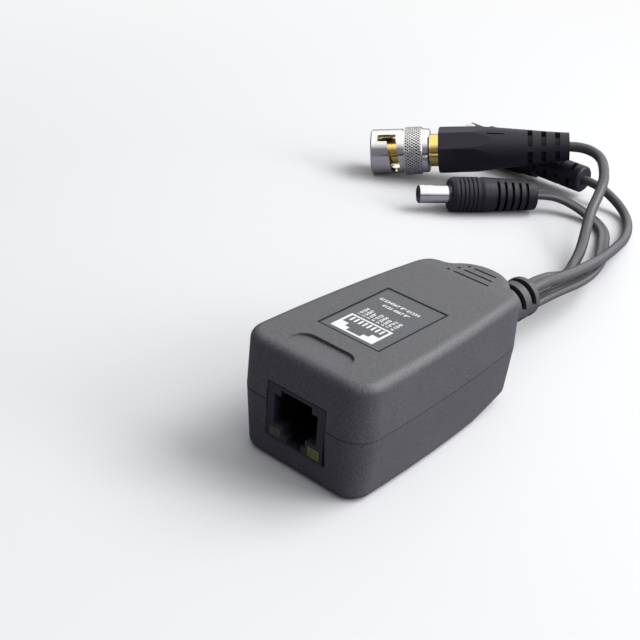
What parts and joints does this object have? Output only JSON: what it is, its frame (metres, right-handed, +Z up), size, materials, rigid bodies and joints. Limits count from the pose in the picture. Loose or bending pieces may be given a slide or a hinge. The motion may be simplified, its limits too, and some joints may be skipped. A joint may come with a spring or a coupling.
{
  "type": "video balun",
  "caption": "Video balun in a tapered two-shell plastic case, with a modular jack in front and three short leads behind, ending in a bayonet, a phono and a power plug.",
  "frame": {"origin": "centre of the rectangle around the case, on the flat underside that it rests on", "axes": "+Z up, -Y toward the jack's mouth, +Y toward the leads, +X to the right seen from the jack"},
  "size_m": [0.1175, 0.1838, 0.028],
  "materials": {
    "housing": "fine spark texture, worn paler along the edges",
    "label": "satin film with plain white marks",
    "jack": "moulded black",
    "green_lens": "clear tinted",
    "amber_lens": "clear tinted",
    "board": "laminate",
    "ferrite": "matt",
    "copper": "enamelled wire",
    "capacitor": "moulded case",
    "fuse": "dipped coating",
    "diode": "moulded case",
    "boot": "satin moulding",
    "lead": "satin sheath",
    "plug": "satin moulding",
    "gold": "thin gold plate",
    "nickel": "nickel plate",
    "rubber": "matt",
    "insulator": "turned white",
    "dark_insulator": "moulded black"
  },
  "bodies": {
    "balun": {"bnc_body": "nickel", "bnc_collar": "gold", "bnc_contact_sleeve": "nickel", "bnc_gasket": "rubber", "bnc_insulator": "insulator", "bnc_moulding": "plug", "bnc_pin": "gold", "circuit_board": "board", "dc_barrel": "nickel", "dc_contact": "nickel", "dc_insulator": "dark_insulator", "dc_moulding": "plug", "film_capacitor": "capacitor", "jack_body": "jack", "jack_contact_1": "gold", "jack_contact_2": "gold", "jack_contact_3": "gold", "jack_contact_4": "gold", "jack_contact_5": "gold", "jack_contact_6": "gold", "jack_contact_7": "gold", "jack_contact_8": "gold", "lead_audio": "lead", "lead_boot": "boot", "lead_power": "lead", "lead_video": "lead", "led_left": "green_lens", "led_right": "amber_lens", "lower_shell": "housing", "pin_label": "label", "rca_insulator": "insulator", "rca_moulding": "plug", "rca_pin": "nickel", "rca_sleeve": "nickel", "resettable_fuse": "fuse", "surge_diode": "diode", "transformer_core": "ferrite", "transformer_winding": "copper", "upper_shell": "housing"},
    "bayonet_nut": {"bnc_coupling": "nickel"}
  },
  "joints": [
    {"name": "bayonet_turn", "type": "hinge", "parent": "balun", "child": "bayonet_nut", "pos_m": [-0.08322, 0.11502, 0.00936], "axis": [-0.812, -0.565, -0.1467], "continuous": true}
  ]
}
